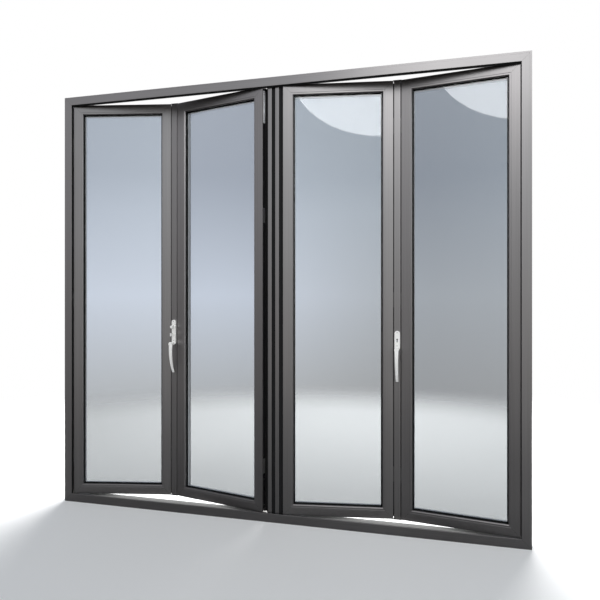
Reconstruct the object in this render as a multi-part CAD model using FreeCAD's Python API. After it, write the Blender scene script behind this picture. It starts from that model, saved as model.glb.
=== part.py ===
"""Half folded four-leaf aluminium patio door in its frame, in millimetres.

The origin is the middle of the sill's underside. X runs to the right along the
sill, Y runs from the viewer's side to the side that the leaves fold out to, and
Z runs up. Two leaves hang on each jamb and fold at a post that carries a handle.
"""
import FreeCAD
import Part
import math
import os

from FreeCAD import Vector

# Outer frame
frame_width = 2606.0
frame_height = 2400.0
frame_depth = 85.0
frame_face = 47.5
frame_lip = 5.0
frame_rebate = 19.0
edge_step_width = 10.0
edge_step_depth = 2.0
fixing_groove_width = 8.0
fixing_groove_depth = 3.0
fixing_groove_inset = 12.0
profile_rounding = 1.2
edge_rounding = 0.6
bead_rounding = 1.0
seal_rounding = 1.0
cutter_margin = 1.0

# Seal behind the front lip, with a thin fin that laps over the leaf's edge
frame_seal_foot = 9.0
head_seal_overhang = 2.5
head_seal_reach = 6.0
jamb_seal_overhang = 0.8
jamb_seal_reach = 2.5
frame_seal_fin = 2.0
sill_seal_drop = 3.5

# Leaf section, measured from the leaf's outer edge and from its front face
leaf_depth = 60.0
leaf_set_back = 12.0
leaf_overlap = 3.5
leaf_face = 44.0
back_leg = 12.0
edge_groove_width = 22.0
edge_groove_depth = 6.0
edge_groove_front = 8.0

# Glazing
bead_set_back = 1.5
bead_depth = 13.5
bead_slope = 4.0
seal_thickness = 3.0
seal_cover = 6.0
seal_show = 3.0
pane_thickness = 5.0
pane_gap = 14.0
pane_edge_clearance = 3.0
spacer_inset = 2.0
spacer_show = 8.0

# Folding geometry
jamb_gap = 2.0
left_fold_angle = 12.1
right_fold_angle = 8.5
fold_post_width = 34.0
fold_gap = 4.5
meeting_gap = 5.5
fold_groove_depth = 3.0
pivot_depth = 4.5
jamb_pivot_inset = 5.0
hanger_inset = 25.0

# Centre post
centre_post_width = 62.0
centre_post_depth = 62.0
centre_post_shift = -4.0
centre_groove_width = 20.0
centre_groove_depth = 12.0

# Tracks
head_track_width = 34.0
head_track_height = 24.0
head_track_wall = 3.0
head_track_slot = 12.0
sill_track_width = 24.0
sill_track_height = 12.0
sill_track_wall = 2.0
track_lip = 1.5

# Hinges
hinge_length = 78.0
hinge_plate = 1.6
hinge_plate_depth = 26.0
hinge_barrel = 4.2
hinge_pin = 2.2
knuckle_gap = 0.5
hinge_end_distance = 236.0

# Hangers and guides
wheel_diameter = 14.0
wheel_width = 7.0
trolley_length = 46.0
trolley_body = 9.0
trolley_lift = 2.0
trolley_clearance = 0.5
axle_diameter = 4.0
hanger_pin = 8.0
shoe_length = 60.0
shoe_clearance = 0.3
shoe_recess = 2.0
shoe_shift = 12.0
pin_bite = 3.0
guide_pin = 9.0
guide_lift = 0.5

# Flush bolts and lock plates on the free leaf edges
bolt_plate_length = 175.0
bolt_plate_thickness = 3.0
bolt_plate_drop = 18.0
bolt_slot_length = 60.0
bolt_slot_width = 8.0
bolt_slide_length = 30.0
bolt_slide_width = 7.2
bolt_slide_recess = 0.5
bolt_slide_travel = 9.0
lock_plate_length = 81.0
lower_lock_rise = 249.0
upper_lock_drop = 696.0
hardware_clearance = 0.3
round_end_margin = 0.01

# Soft seals
fold_seal_width = 8.0
fold_seal_depth = 40.0
meeting_seal_width = 10.0
meeting_seal_reach = 9.0
meeting_seal_inset = 8.0
seal_chamfer = 2.0
seal_clearance = 0.6
post_seal_front = 1.5
post_seal_width = 6.0
post_seal_squeeze = 3.5
insert_recess = 2.0
insert_channel = 4.0
insert_rib = 3.0
cap_thickness = 2.5
cap_set_back = 2.0
cap_clearance = 0.3

# Handles
handle_pivot_height = 940.0
left_plate_width = 25.0
right_plate_width = 29.0
handle_plate_thickness = 9.0
left_plate_length = 146.0
right_plate_length = 103.0
plate_below_pivot = 6.0
plate_rounding = 2.5
hub_diameter = 19.0
hub_bite = 1.0
lever_drop = 168.0
lever_stand_off = 42.0
lever_tip_stand_off = 9.0
lever_width_top = 20.0
lever_width_tip = 14.0
lever_thickness_top = 10.0
lever_thickness_tip = 6.0
lever_bow = 0.09
lever_corner_share = 0.35
lever_boss_margin = 1.5
lever_sections = 9
cylinder_width = 17.0
cylinder_length = 36.0
cylinder_height = 99.0
cylinder_web_width = 10.0
cylinder_web_length = 6.0
cylinder_web_top = 6.0
cylinder_web_drop = 20.0
turn_height = 54.0
turn_stem_diameter = 14.0
turn_stem_length = 12.0
turn_length = 37.0
turn_thickness = 6.0
turn_width = 18.0

# Values that follow from the ones above
front = -frame_depth / 2.0
leaf_plane = front + frame_lip + leaf_set_back
rebate_face = frame_face - frame_rebate
leaf_bottom = frame_face - leaf_overlap
leaf_top = frame_height - leaf_bottom
leaf_height = leaf_top - leaf_bottom
half_opening = frame_width / 2.0 - frame_face - centre_post_width / 2.0
leaf_width = (half_opening - jamb_gap - fold_post_width - 2.0 * fold_gap - meeting_gap) / 2.0
hinge_heights = (
    leaf_bottom + hinge_end_distance,
    (leaf_bottom + leaf_top) / 2.0,
    leaf_top - hinge_end_distance,
)
lock_plate_heights = (leaf_bottom + lower_lock_rise, leaf_top - upper_lock_drop)
sight = leaf_face + back_leg
glass_front = bead_set_back + bead_depth + seal_thickness
glass_back = glass_front + 2.0 * pane_thickness + pane_gap
back_leg_front = glass_back + seal_thickness
pane_edge = leaf_face + pane_edge_clearance
groove_middle = edge_groove_front + edge_groove_width / 2.0
track_plane = leaf_plane + groove_middle
post_half = centre_post_width / 2.0


def rounded_wire(corners):
    """Closed wire through corners given as (point, radius), rounded by arcs."""
    starts = []
    edges = []
    count = len(corners)
    for index in range(count):
        point, radius = corners[index]
        before = (corners[index - 1][0] - point).normalize()
        after = (corners[(index + 1) % count][0] - point).normalize()
        if radius <= 0.0:
            starts.append((point, point, None))
            continue
        half = before.getAngle(after) / 2.0
        reach = radius / math.tan(half)
        middle = (before + after).normalize()
        arc_middle = point + middle * (radius / math.sin(half) - radius)
        starts.append((point + before * reach, point + after * reach, arc_middle))
    for index in range(count):
        arc_start, arc_end, arc_middle = starts[index]
        if arc_middle is not None:
            edges.append(Part.Arc(arc_start, arc_middle, arc_end).toShape())
        following = starts[(index + 1) % count][0]
        if (following - arc_end).Length > 1e-6:
            edges.append(Part.makeLine(arc_end, following))
    return Part.Wire(edges)


def section(points):
    """Face in the YZ plane from (depth, inward, radius) corners of a profile."""
    corners = [(Vector(0.0, depth, inward), radius) for depth, inward, radius in points]
    return Part.Face(rounded_wire(corners))


def plan(points, bottom, height):
    """Upright prism on an outline of (x, y, radius) corners."""
    corners = [(Vector(x, y, bottom), radius) for x, y, radius in points]
    return Part.Face(rounded_wire(corners)).extrude(Vector(0.0, 0.0, height))


def box(x0, x1, y0, y1, z0, z1):
    """Block between two opposite corners."""
    return Part.makeBox(x1 - x0, y1 - y0, z1 - z0, Vector(x0, y0, z0))


def mitred_ring(points, width, height):
    """Four bars of one profile round a rectangle, cut at 45 degrees where they meet."""
    face = section(points)
    widest = max(inward for depth, inward, radius in points)
    shallow = min(depth for depth, inward, radius in points) - cutter_margin
    deep = max(depth for depth, inward, radius in points) + cutter_margin
    bars = []
    for length, turn, corner in (
        (width, 0.0, Vector(0.0, 0.0, 0.0)),
        (height, -90.0, Vector(width, 0.0, 0.0)),
        (width, 180.0, Vector(width, 0.0, height)),
        (height, 90.0, Vector(0.0, 0.0, height)),
    ):
        ends = [
            Vector(0.0, shallow, 0.0),
            Vector(length, shallow, 0.0),
            Vector(length - widest, shallow, widest),
            Vector(widest, shallow, widest),
            Vector(0.0, shallow, 0.0),
        ]
        wedge = Part.Face(Part.makePolygon(ends)).extrude(Vector(0.0, deep - shallow, 0.0))
        bar = face.extrude(Vector(length, 0.0, 0.0)).common(wedge)
        bar.rotate(Vector(0.0, 0.0, 0.0), Vector(0.0, 1.0, 0.0), turn)
        bar.translate(corner)
        bars.append(bar)
    return bars


def save(name, shapes):
    """Write one sub-part from a list of solids."""
    solids = []
    for shape in shapes:
        solids.extend(shape.Solids)
    whole = solids[0] if len(solids) == 1 else Part.makeCompound(solids)
    whole.exportStep(os.path.join("parts", name + ".step"))


# Outer frame: one profile with a front lip, a rebate and fixing grooves, mitred
def frame_profile():
    """Corners of the frame section as (depth, inward, radius)."""
    groove_far = fixing_groove_inset + fixing_groove_width
    return [
        (edge_step_depth, 0.0, 0.0),
        (edge_step_depth, edge_step_width, 0.0),
        (0.0, edge_step_width, edge_rounding),
        (0.0, frame_face, profile_rounding),
        (frame_lip, frame_face, profile_rounding),
        (frame_lip, rebate_face, 0.0),
        (frame_depth, rebate_face, 0.0),
        (frame_depth, 0.0, 0.0),
        (frame_depth - fixing_groove_inset, 0.0, 0.0),
        (frame_depth - fixing_groove_inset, fixing_groove_depth, 0.0),
        (frame_depth - groove_far, fixing_groove_depth, 0.0),
        (frame_depth - groove_far, 0.0, 0.0),
        (groove_far, 0.0, 0.0),
        (groove_far, fixing_groove_depth, 0.0),
        (fixing_groove_inset, fixing_groove_depth, 0.0),
        (fixing_groove_inset, 0.0, 0.0),
    ]


def track_run(side):
    """Start and end in X of the track on one side of the centre post."""
    near = centre_post_shift + side * post_half
    far = side * (frame_width / 2.0 - rebate_face)
    return (far, near) if side < 0 else (near, far)


def track_space(side, width, bottom, top):
    """Block that a track fills in the head or the sill on one side."""
    start, end = track_run(side)
    half = width / 2.0
    return box(start, end, track_plane - half, track_plane + half, bottom, top)


def build_frame():
    """Head, sill and jambs, with the beds of the tracks cut out."""
    sill, right, head, left = mitred_ring(frame_profile(), frame_width, frame_height)
    for bar in (sill, right, head, left):
        bar.translate(Vector(-frame_width / 2.0, front, 0.0))
    head_bottom = frame_height - rebate_face
    for side in (-1, 1):
        head = head.cut(track_space(side, head_track_width, head_bottom, head_bottom + head_track_height))
        sill = sill.cut(track_space(side, sill_track_width, rebate_face - sill_track_height, rebate_face))
    save("frame_sill", [sill])
    save("frame_right_jamb", [right])
    save("frame_head", [head])
    save("frame_left_jamb", [left])


def build_tracks():
    """Slotted channel in the head and open channel in the sill, one run a side."""
    head_bottom = frame_height - rebate_face
    head_runs = []
    sill_runs = []
    for side in (-1, 1):
        start, end = track_run(side)
        run = track_space(side, head_track_width, head_bottom, head_bottom + head_track_height)
        inner = head_track_width - 2.0 * head_track_wall
        run = run.cut(track_space(side, inner, head_bottom + head_track_wall,
                                  head_bottom + head_track_height - head_track_wall))
        run = run.cut(track_space(side, head_track_slot, head_bottom, head_bottom + head_track_wall))
        head_runs.append(run)
        floor = rebate_face - sill_track_height
        run = track_space(side, sill_track_width, floor, rebate_face + track_lip)
        inner = sill_track_width - 2.0 * sill_track_wall
        run = run.cut(track_space(side, inner, floor + sill_track_wall, rebate_face + track_lip))
        sill_runs.append(run)
    save("head_track", head_runs)
    save("sill_track", sill_runs)


# Leaves
def leaf_profile():
    """Corners of the stile and rail section, with the hardware groove in its edge."""
    groove_back = edge_groove_front + edge_groove_width
    return [
        (0.0, 0.0, profile_rounding),
        (0.0, leaf_face, profile_rounding),
        (back_leg_front, leaf_face, 0.0),
        (back_leg_front, sight, edge_rounding),
        (leaf_depth, sight, profile_rounding),
        (leaf_depth, 0.0, profile_rounding),
        (groove_back, 0.0, 0.0),
        (groove_back, edge_groove_depth, 0.0),
        (edge_groove_front, edge_groove_depth, 0.0),
        (edge_groove_front, 0.0, 0.0),
    ]


def bead_profile():
    """Corners of the sloped glazing bead."""
    behind = bead_set_back + bead_depth
    return [
        (bead_set_back, leaf_face, 0.0),
        (bead_set_back, sight - bead_slope, bead_rounding),
        (bead_set_back + bead_slope, sight, bead_rounding),
        (behind, sight, 0.0),
        (behind, leaf_face, 0.0),
    ]


def strip_profile(depth_from, depth_to, inward_from, inward_to):
    """Corners of a plain rectangular strip."""
    return [
        (depth_from, inward_from, 0.0),
        (depth_from, inward_to, 0.0),
        (depth_to, inward_to, 0.0),
        (depth_to, inward_from, 0.0),
    ]


def pair_plan(side, fold_angle):
    """Plan positions of one pair's leaves, its fold post and its two hinge lines.

    Each leaf is (left corner, angle). The meeting leaf's angle is the one that
    keeps its hanger on the line of the track.
    """
    theta = math.radians(fold_angle)
    jamb_pivot = Vector(-frame_width / 2.0 + frame_face + jamb_gap - jamb_pivot_inset,
                        leaf_plane + pivot_depth, 0.0)
    reach = leaf_width + jamb_pivot_inset + fold_gap / 2.0
    fold_pivot = jamb_pivot + Vector(math.cos(theta), math.sin(theta), 0.0) * reach
    second_pivot = fold_pivot + Vector(fold_post_width + fold_gap, 0.0, 0.0)
    run = leaf_width - hanger_inset + fold_gap / 2.0
    rise = groove_middle - pivot_depth
    drop = second_pivot.y - track_plane
    phi = math.asin(drop / math.hypot(run, rise)) + math.atan2(rise, run)

    def turned(along, deep, angle):
        """Vector from a local step along and into the leaf."""
        return Vector(along * math.cos(angle) - deep * math.sin(angle),
                      along * math.sin(angle) + deep * math.cos(angle), 0.0)

    jamb_corner = jamb_pivot + turned(jamb_pivot_inset, -pivot_depth, theta)
    jamb_far = jamb_corner + turned(leaf_width, 0.0, theta)
    meeting_corner = second_pivot + turned(fold_gap / 2.0, -pivot_depth, -phi)
    meeting_far = meeting_corner + turned(leaf_width, 0.0, -phi)
    if side < 0:
        return {
            "jamb_leaf": (jamb_corner, theta),
            "meeting_leaf": (meeting_corner, -phi),
            "jamb_pivot": jamb_pivot,
            "pivots": (fold_pivot, second_pivot),
            "angles": (theta, -phi),
            "post_middle": (fold_pivot + second_pivot) / 2.0,
            "meeting_far": meeting_far,
        }
    return {
        "jamb_leaf": (Vector(-jamb_far.x, jamb_far.y, 0.0), -theta),
        "meeting_leaf": (Vector(-meeting_far.x, meeting_far.y, 0.0), phi),
        "jamb_pivot": Vector(-jamb_pivot.x, jamb_pivot.y, 0.0),
        "pivots": (Vector(-second_pivot.x, second_pivot.y, 0.0), Vector(-fold_pivot.x, fold_pivot.y, 0.0)),
        "angles": (phi, -theta),
        "post_middle": Vector(-(fold_pivot.x + second_pivot.x) / 2.0, fold_pivot.y, 0.0),
        "meeting_far": Vector(-meeting_far.x, meeting_far.y, 0.0),
    }


left_plan = pair_plan(-1, left_fold_angle)
right_plan = pair_plan(1, right_fold_angle)
leaf_places = (
    left_plan["jamb_leaf"],
    left_plan["meeting_leaf"],
    right_plan["meeting_leaf"],
    right_plan["jamb_leaf"],
)
free_front = min(left_plan["meeting_far"].y, right_plan["meeting_far"].y)
frame_seal_back = free_front - front - seal_clearance


def placed(shape, place):
    """Copy of a shape made in leaf coordinates, moved to its leaf."""
    corner, angle = place
    moved = shape.copy()
    moved.rotate(Vector(0.0, 0.0, 0.0), Vector(0.0, 0.0, 1.0), math.degrees(angle))
    moved.translate(Vector(corner.x, corner.y, 0.0))
    return moved


def leaf_ring(points):
    """Ring of bars of one profile at the height of the leaf."""
    bars = mitred_ring(points, leaf_width, leaf_height)
    for bar in bars:
        bar.translate(Vector(0.0, 0.0, leaf_bottom))
    return bars


def closed_ring(points):
    """Ring of one profile in one piece, as a gasket that runs round its pane."""
    bars = leaf_ring(points)
    return bars[0].fuse(bars[1:]).removeSplitter()


def pane(depth_from):
    """One sheet of glass in leaf coordinates."""
    return box(pane_edge, leaf_width - pane_edge, depth_from, depth_from + pane_thickness,
               leaf_bottom + pane_edge, leaf_top - pane_edge)


def build_leaves():
    """Four equal leaves: stiles, rails, beads and glass, then all seals and spacers."""
    bars = leaf_ring(leaf_profile())
    beads = leaf_ring(bead_profile())
    bead_back = bead_set_back + bead_depth
    seal_from = sight - seal_cover
    seal_to = sight + seal_show
    seals = [
        closed_ring(strip_profile(bead_back, glass_front, seal_from, seal_to)),
        closed_ring(strip_profile(glass_back, back_leg_front, seal_from, seal_to)),
    ]
    spacer_front = glass_front + pane_thickness
    spacer = closed_ring(strip_profile(spacer_front, spacer_front + pane_gap,
                                       pane_edge + spacer_inset, sight + spacer_show))
    panes = [pane(glass_front), pane(glass_back - pane_thickness)]
    all_seals = []
    all_spacers = []
    for number, place in enumerate(leaf_places, start=1):
        leaf = "leaf_%d" % number
        for name, bar in zip(("bottom_rail", "right_stile", "top_rail", "left_stile"), bars):
            save("%s_%s" % (leaf, name), [placed(bar, place)])
        save(leaf + "_beads", [placed(bead, place) for bead in beads])
        save(leaf + "_glass", [placed(sheet, place) for sheet in panes])
        all_seals.extend(placed(seal, place) for seal in seals)
        all_spacers.append(placed(spacer, place))
    save("glazing_seals", all_seals)
    save("glass_spacers", all_spacers)


# Posts
def fold_post(middle):
    """Slim post between two leaves, with a seal groove down each side."""
    half = fold_post_width / 2.0
    face = middle.y - pivot_depth
    back = face + leaf_depth
    groove_front = face + fold_seal_depth
    groove_back = groove_front + fold_seal_width
    outline = [
        (middle.x - half, face, profile_rounding),
        (middle.x + half, face, profile_rounding),
        (middle.x + half, groove_front, 0.0),
        (middle.x + half - fold_groove_depth, groove_front, 0.0),
        (middle.x + half - fold_groove_depth, groove_back, 0.0),
        (middle.x + half, groove_back, 0.0),
        (middle.x + half, back, profile_rounding),
        (middle.x - half, back, profile_rounding),
        (middle.x - half, groove_back, 0.0),
        (middle.x - half + fold_groove_depth, groove_back, 0.0),
        (middle.x - half + fold_groove_depth, groove_front, 0.0),
        (middle.x - half, groove_front, 0.0),
    ]
    return plan(outline, leaf_bottom, leaf_height)


def fold_seals(middle, angles):
    """Soft strips in the post's side grooves that close the gap to each leaf."""
    half = fold_post_width / 2.0
    start = middle.y - pivot_depth + fold_seal_depth
    strips = []
    for side, angle in zip((-1, 1), angles):
        slope = math.tan(abs(angle))
        opening = fold_gap + (fold_seal_depth - pivot_depth) * slope
        reach = opening - seal_clearance
        inner = middle.x + side * (half - fold_groove_depth)
        outer = middle.x + side * (half + reach)
        strips.append(plan([
            (inner, start, 0.0),
            (outer, start + seal_chamfer, 0.0),
            (outer, start + fold_seal_width - seal_chamfer, 0.0),
            (inner, start + fold_seal_width, 0.0),
        ], leaf_bottom, leaf_height))
    return strips


def centre_post():
    """Grooved post that stands on the sill between the two pairs."""
    face = leaf_plane
    back = face + centre_post_depth
    middle = centre_post_shift
    inner = centre_groove_width / 2.0
    side_front = face + edge_groove_front
    side_back = side_front + edge_groove_width
    half = post_half
    outline = [
        (middle - half, face, profile_rounding),
        (middle - inner, face, profile_rounding),
        (middle - inner, face + centre_groove_depth, 0.0),
        (middle + inner, face + centre_groove_depth, 0.0),
        (middle + inner, face, profile_rounding),
        (middle + half, face, profile_rounding),
        (middle + half, side_front, 0.0),
        (middle + half - edge_groove_depth, side_front, 0.0),
        (middle + half - edge_groove_depth, side_back, 0.0),
        (middle + half, side_back, 0.0),
        (middle + half, back, profile_rounding),
        (middle + inner, back, profile_rounding),
        (middle + inner, back - centre_groove_depth, 0.0),
        (middle - inner, back - centre_groove_depth, 0.0),
        (middle - inner, back, profile_rounding),
        (middle - half, back, profile_rounding),
        (middle - half, side_back, 0.0),
        (middle - half + edge_groove_depth, side_back, 0.0),
        (middle - half + edge_groove_depth, side_front, 0.0),
        (middle - half, side_front, 0.0),
    ]
    return plan(outline, rebate_face, frame_height - 2.0 * rebate_face)


def centre_post_seals():
    """Ribbed insert in the centre post's front groove and a lip down each of its sides."""
    height = frame_height - 2.0 * rebate_face
    inner = centre_groove_width / 2.0
    floor = leaf_plane + centre_groove_depth
    top = leaf_plane + insert_recess
    low = top + insert_channel
    middle = centre_post_shift
    strips = [plan([
        (middle - inner, top, 0.0),
        (middle - inner + insert_rib, top, seal_rounding),
        (middle - inner + insert_rib, low, 0.0),
        (middle + inner - insert_rib, low, 0.0),
        (middle + inner - insert_rib, top, seal_rounding),
        (middle + inner, top, 0.0),
        (middle + inner, floor, 0.0),
        (middle - inner, floor, 0.0),
    ], rebate_face, height)]
    start = leaf_plane + post_seal_front
    for side in (-1, 1):
        foot = middle + side * post_half
        tip = foot + side * (meeting_gap - side * centre_post_shift + post_seal_squeeze)
        strips.append(plan([
            (foot, start, 0.0),
            (tip, start + seal_chamfer, seal_rounding),
            (tip, start + post_seal_width - seal_chamfer, seal_rounding),
            (foot, start + post_seal_width, 0.0),
        ], rebate_face + track_lip, height - track_lip))
    return strips


def post_caps(middle):
    """Cap on the top and the foot of a fold post, as wide as the post and its two gaps."""
    half = fold_post_width / 2.0 + fold_gap - cap_clearance
    face = middle.y - pivot_depth + cap_set_back
    back = middle.y - pivot_depth + leaf_depth - cap_set_back
    top = box(middle.x - half, middle.x + half, face, back, leaf_top, leaf_top + cap_thickness)
    foot = box(middle.x - half, middle.x + half, face, back, leaf_bottom - cap_thickness, leaf_bottom)
    return [top, foot]


def build_posts():
    """The two fold posts with their seals and caps, and the centre post with its seals."""
    save("left_fold_post", [fold_post(left_plan["post_middle"])])
    save("right_fold_post", [fold_post(right_plan["post_middle"])])
    strips = fold_seals(left_plan["post_middle"], left_plan["angles"])
    strips += fold_seals(right_plan["post_middle"], right_plan["angles"])
    save("fold_seals", strips)
    save("fold_post_caps", post_caps(left_plan["post_middle"]) + post_caps(right_plan["post_middle"]))
    save("centre_post", [centre_post()])
    save("centre_post_seals", centre_post_seals())


# Frame seals
def frame_seal_profile(inner, outer, fin_outer):
    """Corners of a lip seal with its fin, as (depth, inward, radius)."""
    fin_front = frame_seal_back - frame_seal_fin
    return [
        (frame_lip, inner, 0.0),
        (frame_lip, outer, seal_rounding),
        (fin_front, outer, 0.0),
        (fin_front, fin_outer, 0.0),
        (frame_seal_back, fin_outer, 0.0),
        (frame_seal_back, inner, 0.0),
    ]


def build_frame_seals():
    """Finned seals behind the lip of head and jambs, and a plain low one at the sill."""
    inner = rebate_face + frame_seal_foot
    head_reach = frame_face + head_seal_reach
    length = frame_width - 2.0 * rebate_face
    head = section(frame_seal_profile(inner, frame_face + head_seal_overhang, head_reach))
    head = head.extrude(Vector(length, 0.0, 0.0))
    head.rotate(Vector(0.0, 0.0, 0.0), Vector(0.0, 1.0, 0.0), 180.0)
    head.translate(Vector(length / 2.0, front, frame_height))
    sill_top = frame_face - sill_seal_drop
    sill = section(strip_profile(frame_lip, frame_seal_back, rebate_face, sill_top))
    sill = sill.extrude(Vector(length, 0.0, 0.0))
    sill.translate(Vector(-length / 2.0, front, 0.0))
    height = frame_height - head_reach - sill_top
    upright = section(frame_seal_profile(rebate_face, frame_face + jamb_seal_overhang,
                                         frame_face + jamb_seal_reach))
    upright = upright.extrude(Vector(height, 0.0, 0.0))
    left = upright.copy()
    left.rotate(Vector(0.0, 0.0, 0.0), Vector(0.0, 1.0, 0.0), 90.0)
    left.translate(Vector(-frame_width / 2.0, front, frame_height - head_reach))
    right = upright.copy()
    right.rotate(Vector(0.0, 0.0, 0.0), Vector(0.0, 1.0, 0.0), -90.0)
    right.translate(Vector(frame_width / 2.0, front, sill_top))
    save("frame_seals", [head, sill, left, right])


# Hinges
def wing(pivot, height, offset, angle, which):
    """Plate whose far face lies at an offset from the hinge line, with its knuckles."""
    inner = offset - math.copysign(hinge_plate, offset)
    low, high = sorted((inner, offset))
    third = hinge_length / 3.0
    plate = box(low, high, 0.0, hinge_plate_depth, -hinge_length / 2.0, hinge_length / 2.0)
    solid = plate
    pieces = []
    for index in range(3):
        bottom = -hinge_length / 2.0 + index * third
        barrel = Part.makeCylinder(hinge_barrel / 2.0, third - knuckle_gap,
                                   Vector(0.0, 0.0, bottom + knuckle_gap / 2.0))
        if index in which:
            pieces.append(barrel)
            if abs(inner) > hinge_barrel / 2.0:
                start, end = sorted((inner, 0.0))
                pieces.append(box(start, end, 0.0, hinge_plate,
                                  bottom + knuckle_gap / 2.0, bottom + third - knuckle_gap / 2.0))
        else:
            room = Part.makeCylinder(hinge_barrel / 2.0 + knuckle_gap, third,
                                     Vector(0.0, 0.0, bottom))
            solid = solid.cut(room)
    for barrel in pieces:
        solid = solid.fuse(barrel)
    bore = Part.makeCylinder(hinge_pin / 2.0, hinge_length, Vector(0.0, 0.0, -hinge_length / 2.0))
    solid = solid.cut(bore).removeSplitter()
    solid.rotate(Vector(0.0, 0.0, 0.0), Vector(0.0, 0.0, 1.0), math.degrees(angle))
    solid.translate(Vector(pivot.x, pivot.y, height))
    return solid


def pin(pivot, height):
    """Hinge pin along the hinge line."""
    return Part.makeCylinder(hinge_pin / 2.0, hinge_length,
                             Vector(pivot.x, pivot.y, height - hinge_length / 2.0))


def build_hinges():
    """Three hinges on each line at the fold posts and at the jambs."""
    half_gap = fold_gap / 2.0
    to_wall = frame_rebate + jamb_gap - jamb_pivot_inset
    for name, pair, side in (("left", left_plan, 1.0), ("right", right_plan, -1.0)):
        first, second = pair["pivots"]
        first_angle, second_angle = pair["angles"]
        pivot = pair["jamb_pivot"]
        angle = pair["jamb_leaf"][1]
        fold = []
        jamb = []
        for height in hinge_heights:
            fold.append(wing(first, height, -half_gap, first_angle, (0, 2)))
            fold.append(wing(first, height, half_gap, 0.0, (1,)))
            fold.append(wing(second, height, -half_gap, 0.0, (1,)))
            fold.append(wing(second, height, half_gap, second_angle, (0, 2)))
            fold.append(pin(first, height))
            fold.append(pin(second, height))
            jamb.append(wing(pivot, height, side * jamb_pivot_inset, angle, (0, 2)))
            jamb.append(wing(pivot, height, -side * to_wall, 0.0, (1,)))
            jamb.append(pin(pivot, height))
        save(name + "_fold_hinges", fold)
        save(name + "_jamb_hinges", jamb)


# Hangers and guides
def trolley(x):
    """Two-axle trolley body with its hanging pin, and its four wheels."""
    head_bottom = frame_height - rebate_face
    wheel_floor = head_bottom + head_track_wall
    axle_height = wheel_floor + wheel_diameter / 2.0
    half = trolley_length / 2.0
    body = box(x - half, x + half, track_plane - trolley_body / 2.0, track_plane + trolley_body / 2.0,
               wheel_floor + trolley_lift, wheel_floor + wheel_diameter)
    pin_foot = leaf_top - edge_groove_depth + shoe_recess
    solid = body.fuse(Part.makeCylinder(hanger_pin / 2.0, wheel_floor + pin_bite - pin_foot,
                                        Vector(x, track_plane, pin_foot)))
    wheels = []
    for step in (-1, 1):
        axle_x = x + step * (half - wheel_diameter / 2.0)
        reach = trolley_body / 2.0 + trolley_clearance + wheel_width
        axle = Part.makeCylinder(axle_diameter / 2.0, 2.0 * reach,
                                 Vector(axle_x, track_plane - reach, axle_height),
                                 Vector(0.0, 1.0, 0.0))
        solid = solid.fuse(axle)
        for side in (-1, 1):
            inner = trolley_body / 2.0 + trolley_clearance
            start = track_plane + (inner if side > 0 else -inner - wheel_width)
            wheel = Part.makeCylinder(wheel_diameter / 2.0, wheel_width,
                                      Vector(axle_x, start, axle_height), Vector(0.0, 1.0, 0.0))
            hole = Part.makeCylinder(axle_diameter / 2.0, wheel_width, Vector(axle_x, start, axle_height),
                                     Vector(0.0, 1.0, 0.0))
            wheels.append(wheel.cut(hole))
    return solid.removeSplitter(), wheels


def hanger_point(place, free_end):
    """Where the hanger meets the leaf, in plan."""
    along = leaf_width - hanger_inset if free_end > 0 else hanger_inset
    corner, angle = place
    return Vector(corner.x + along * math.cos(angle) - groove_middle * math.sin(angle),
                  corner.y + along * math.sin(angle) + groove_middle * math.cos(angle), 0.0)


def shoe(along, bottom):
    """Plate in the leaf's edge groove that the hanger or the guide is screwed to."""
    start = edge_groove_front + shoe_clearance
    end = edge_groove_front + edge_groove_width - shoe_clearance
    return box(along - shoe_length / 2.0, along + shoe_length / 2.0, start, end,
               bottom, bottom + edge_groove_depth - shoe_recess)


def build_running_gear():
    """Hangers, wheels and guides of the two leaves that meet at the centre post."""
    bodies = []
    wheels = []
    guides = []
    for place, free_end in ((left_plan["meeting_leaf"], 1), (right_plan["meeting_leaf"], -1)):
        point = hanger_point(place, free_end)
        body, set_of_wheels = trolley(point.x)
        along = leaf_width - hanger_inset - shoe_shift if free_end > 0 else hanger_inset + shoe_shift
        top_shoe = placed(shoe(along, leaf_top - edge_groove_depth), place)
        bodies.append(body.fuse(top_shoe).removeSplitter())
        wheels.extend(set_of_wheels)
        bottom_shoe = placed(shoe(along, leaf_bottom + shoe_recess), place)
        floor = rebate_face - sill_track_height + sill_track_wall + guide_lift
        stem = Part.makeCylinder(guide_pin / 2.0, leaf_bottom + pin_bite - floor,
                                 Vector(point.x, point.y, floor))
        guides.append(stem.fuse(bottom_shoe).removeSplitter())
    save("hangers", bodies)
    save("hanger_wheels", wheels)
    save("floor_guides", guides)


# Bolts, lock plates and meeting seals on the free edges
def edge_plate(bottom, length, free_end, rounded_low, rounded_high):
    """Plate let into the groove of a leaf's free edge, flush with the edge."""
    low = edge_groove_front + hardware_clearance
    high = edge_groove_front + edge_groove_width - hardware_clearance
    radius = (high - low) / 2.0 - round_end_margin
    corners = [
        (Vector(0.0, low, bottom), radius if rounded_low else 0.0),
        (Vector(0.0, high, bottom), radius if rounded_low else 0.0),
        (Vector(0.0, high, bottom + length), radius if rounded_high else 0.0),
        (Vector(0.0, low, bottom + length), radius if rounded_high else 0.0),
    ]
    face = Part.Face(rounded_wire(corners))
    edge = leaf_width - edge_groove_depth if free_end > 0 else edge_groove_depth
    step = edge_groove_depth if free_end > 0 else -edge_groove_depth
    solid = face.extrude(Vector(step, 0.0, 0.0))
    solid.translate(Vector(edge, 0.0, 0.0))
    return solid


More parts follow.
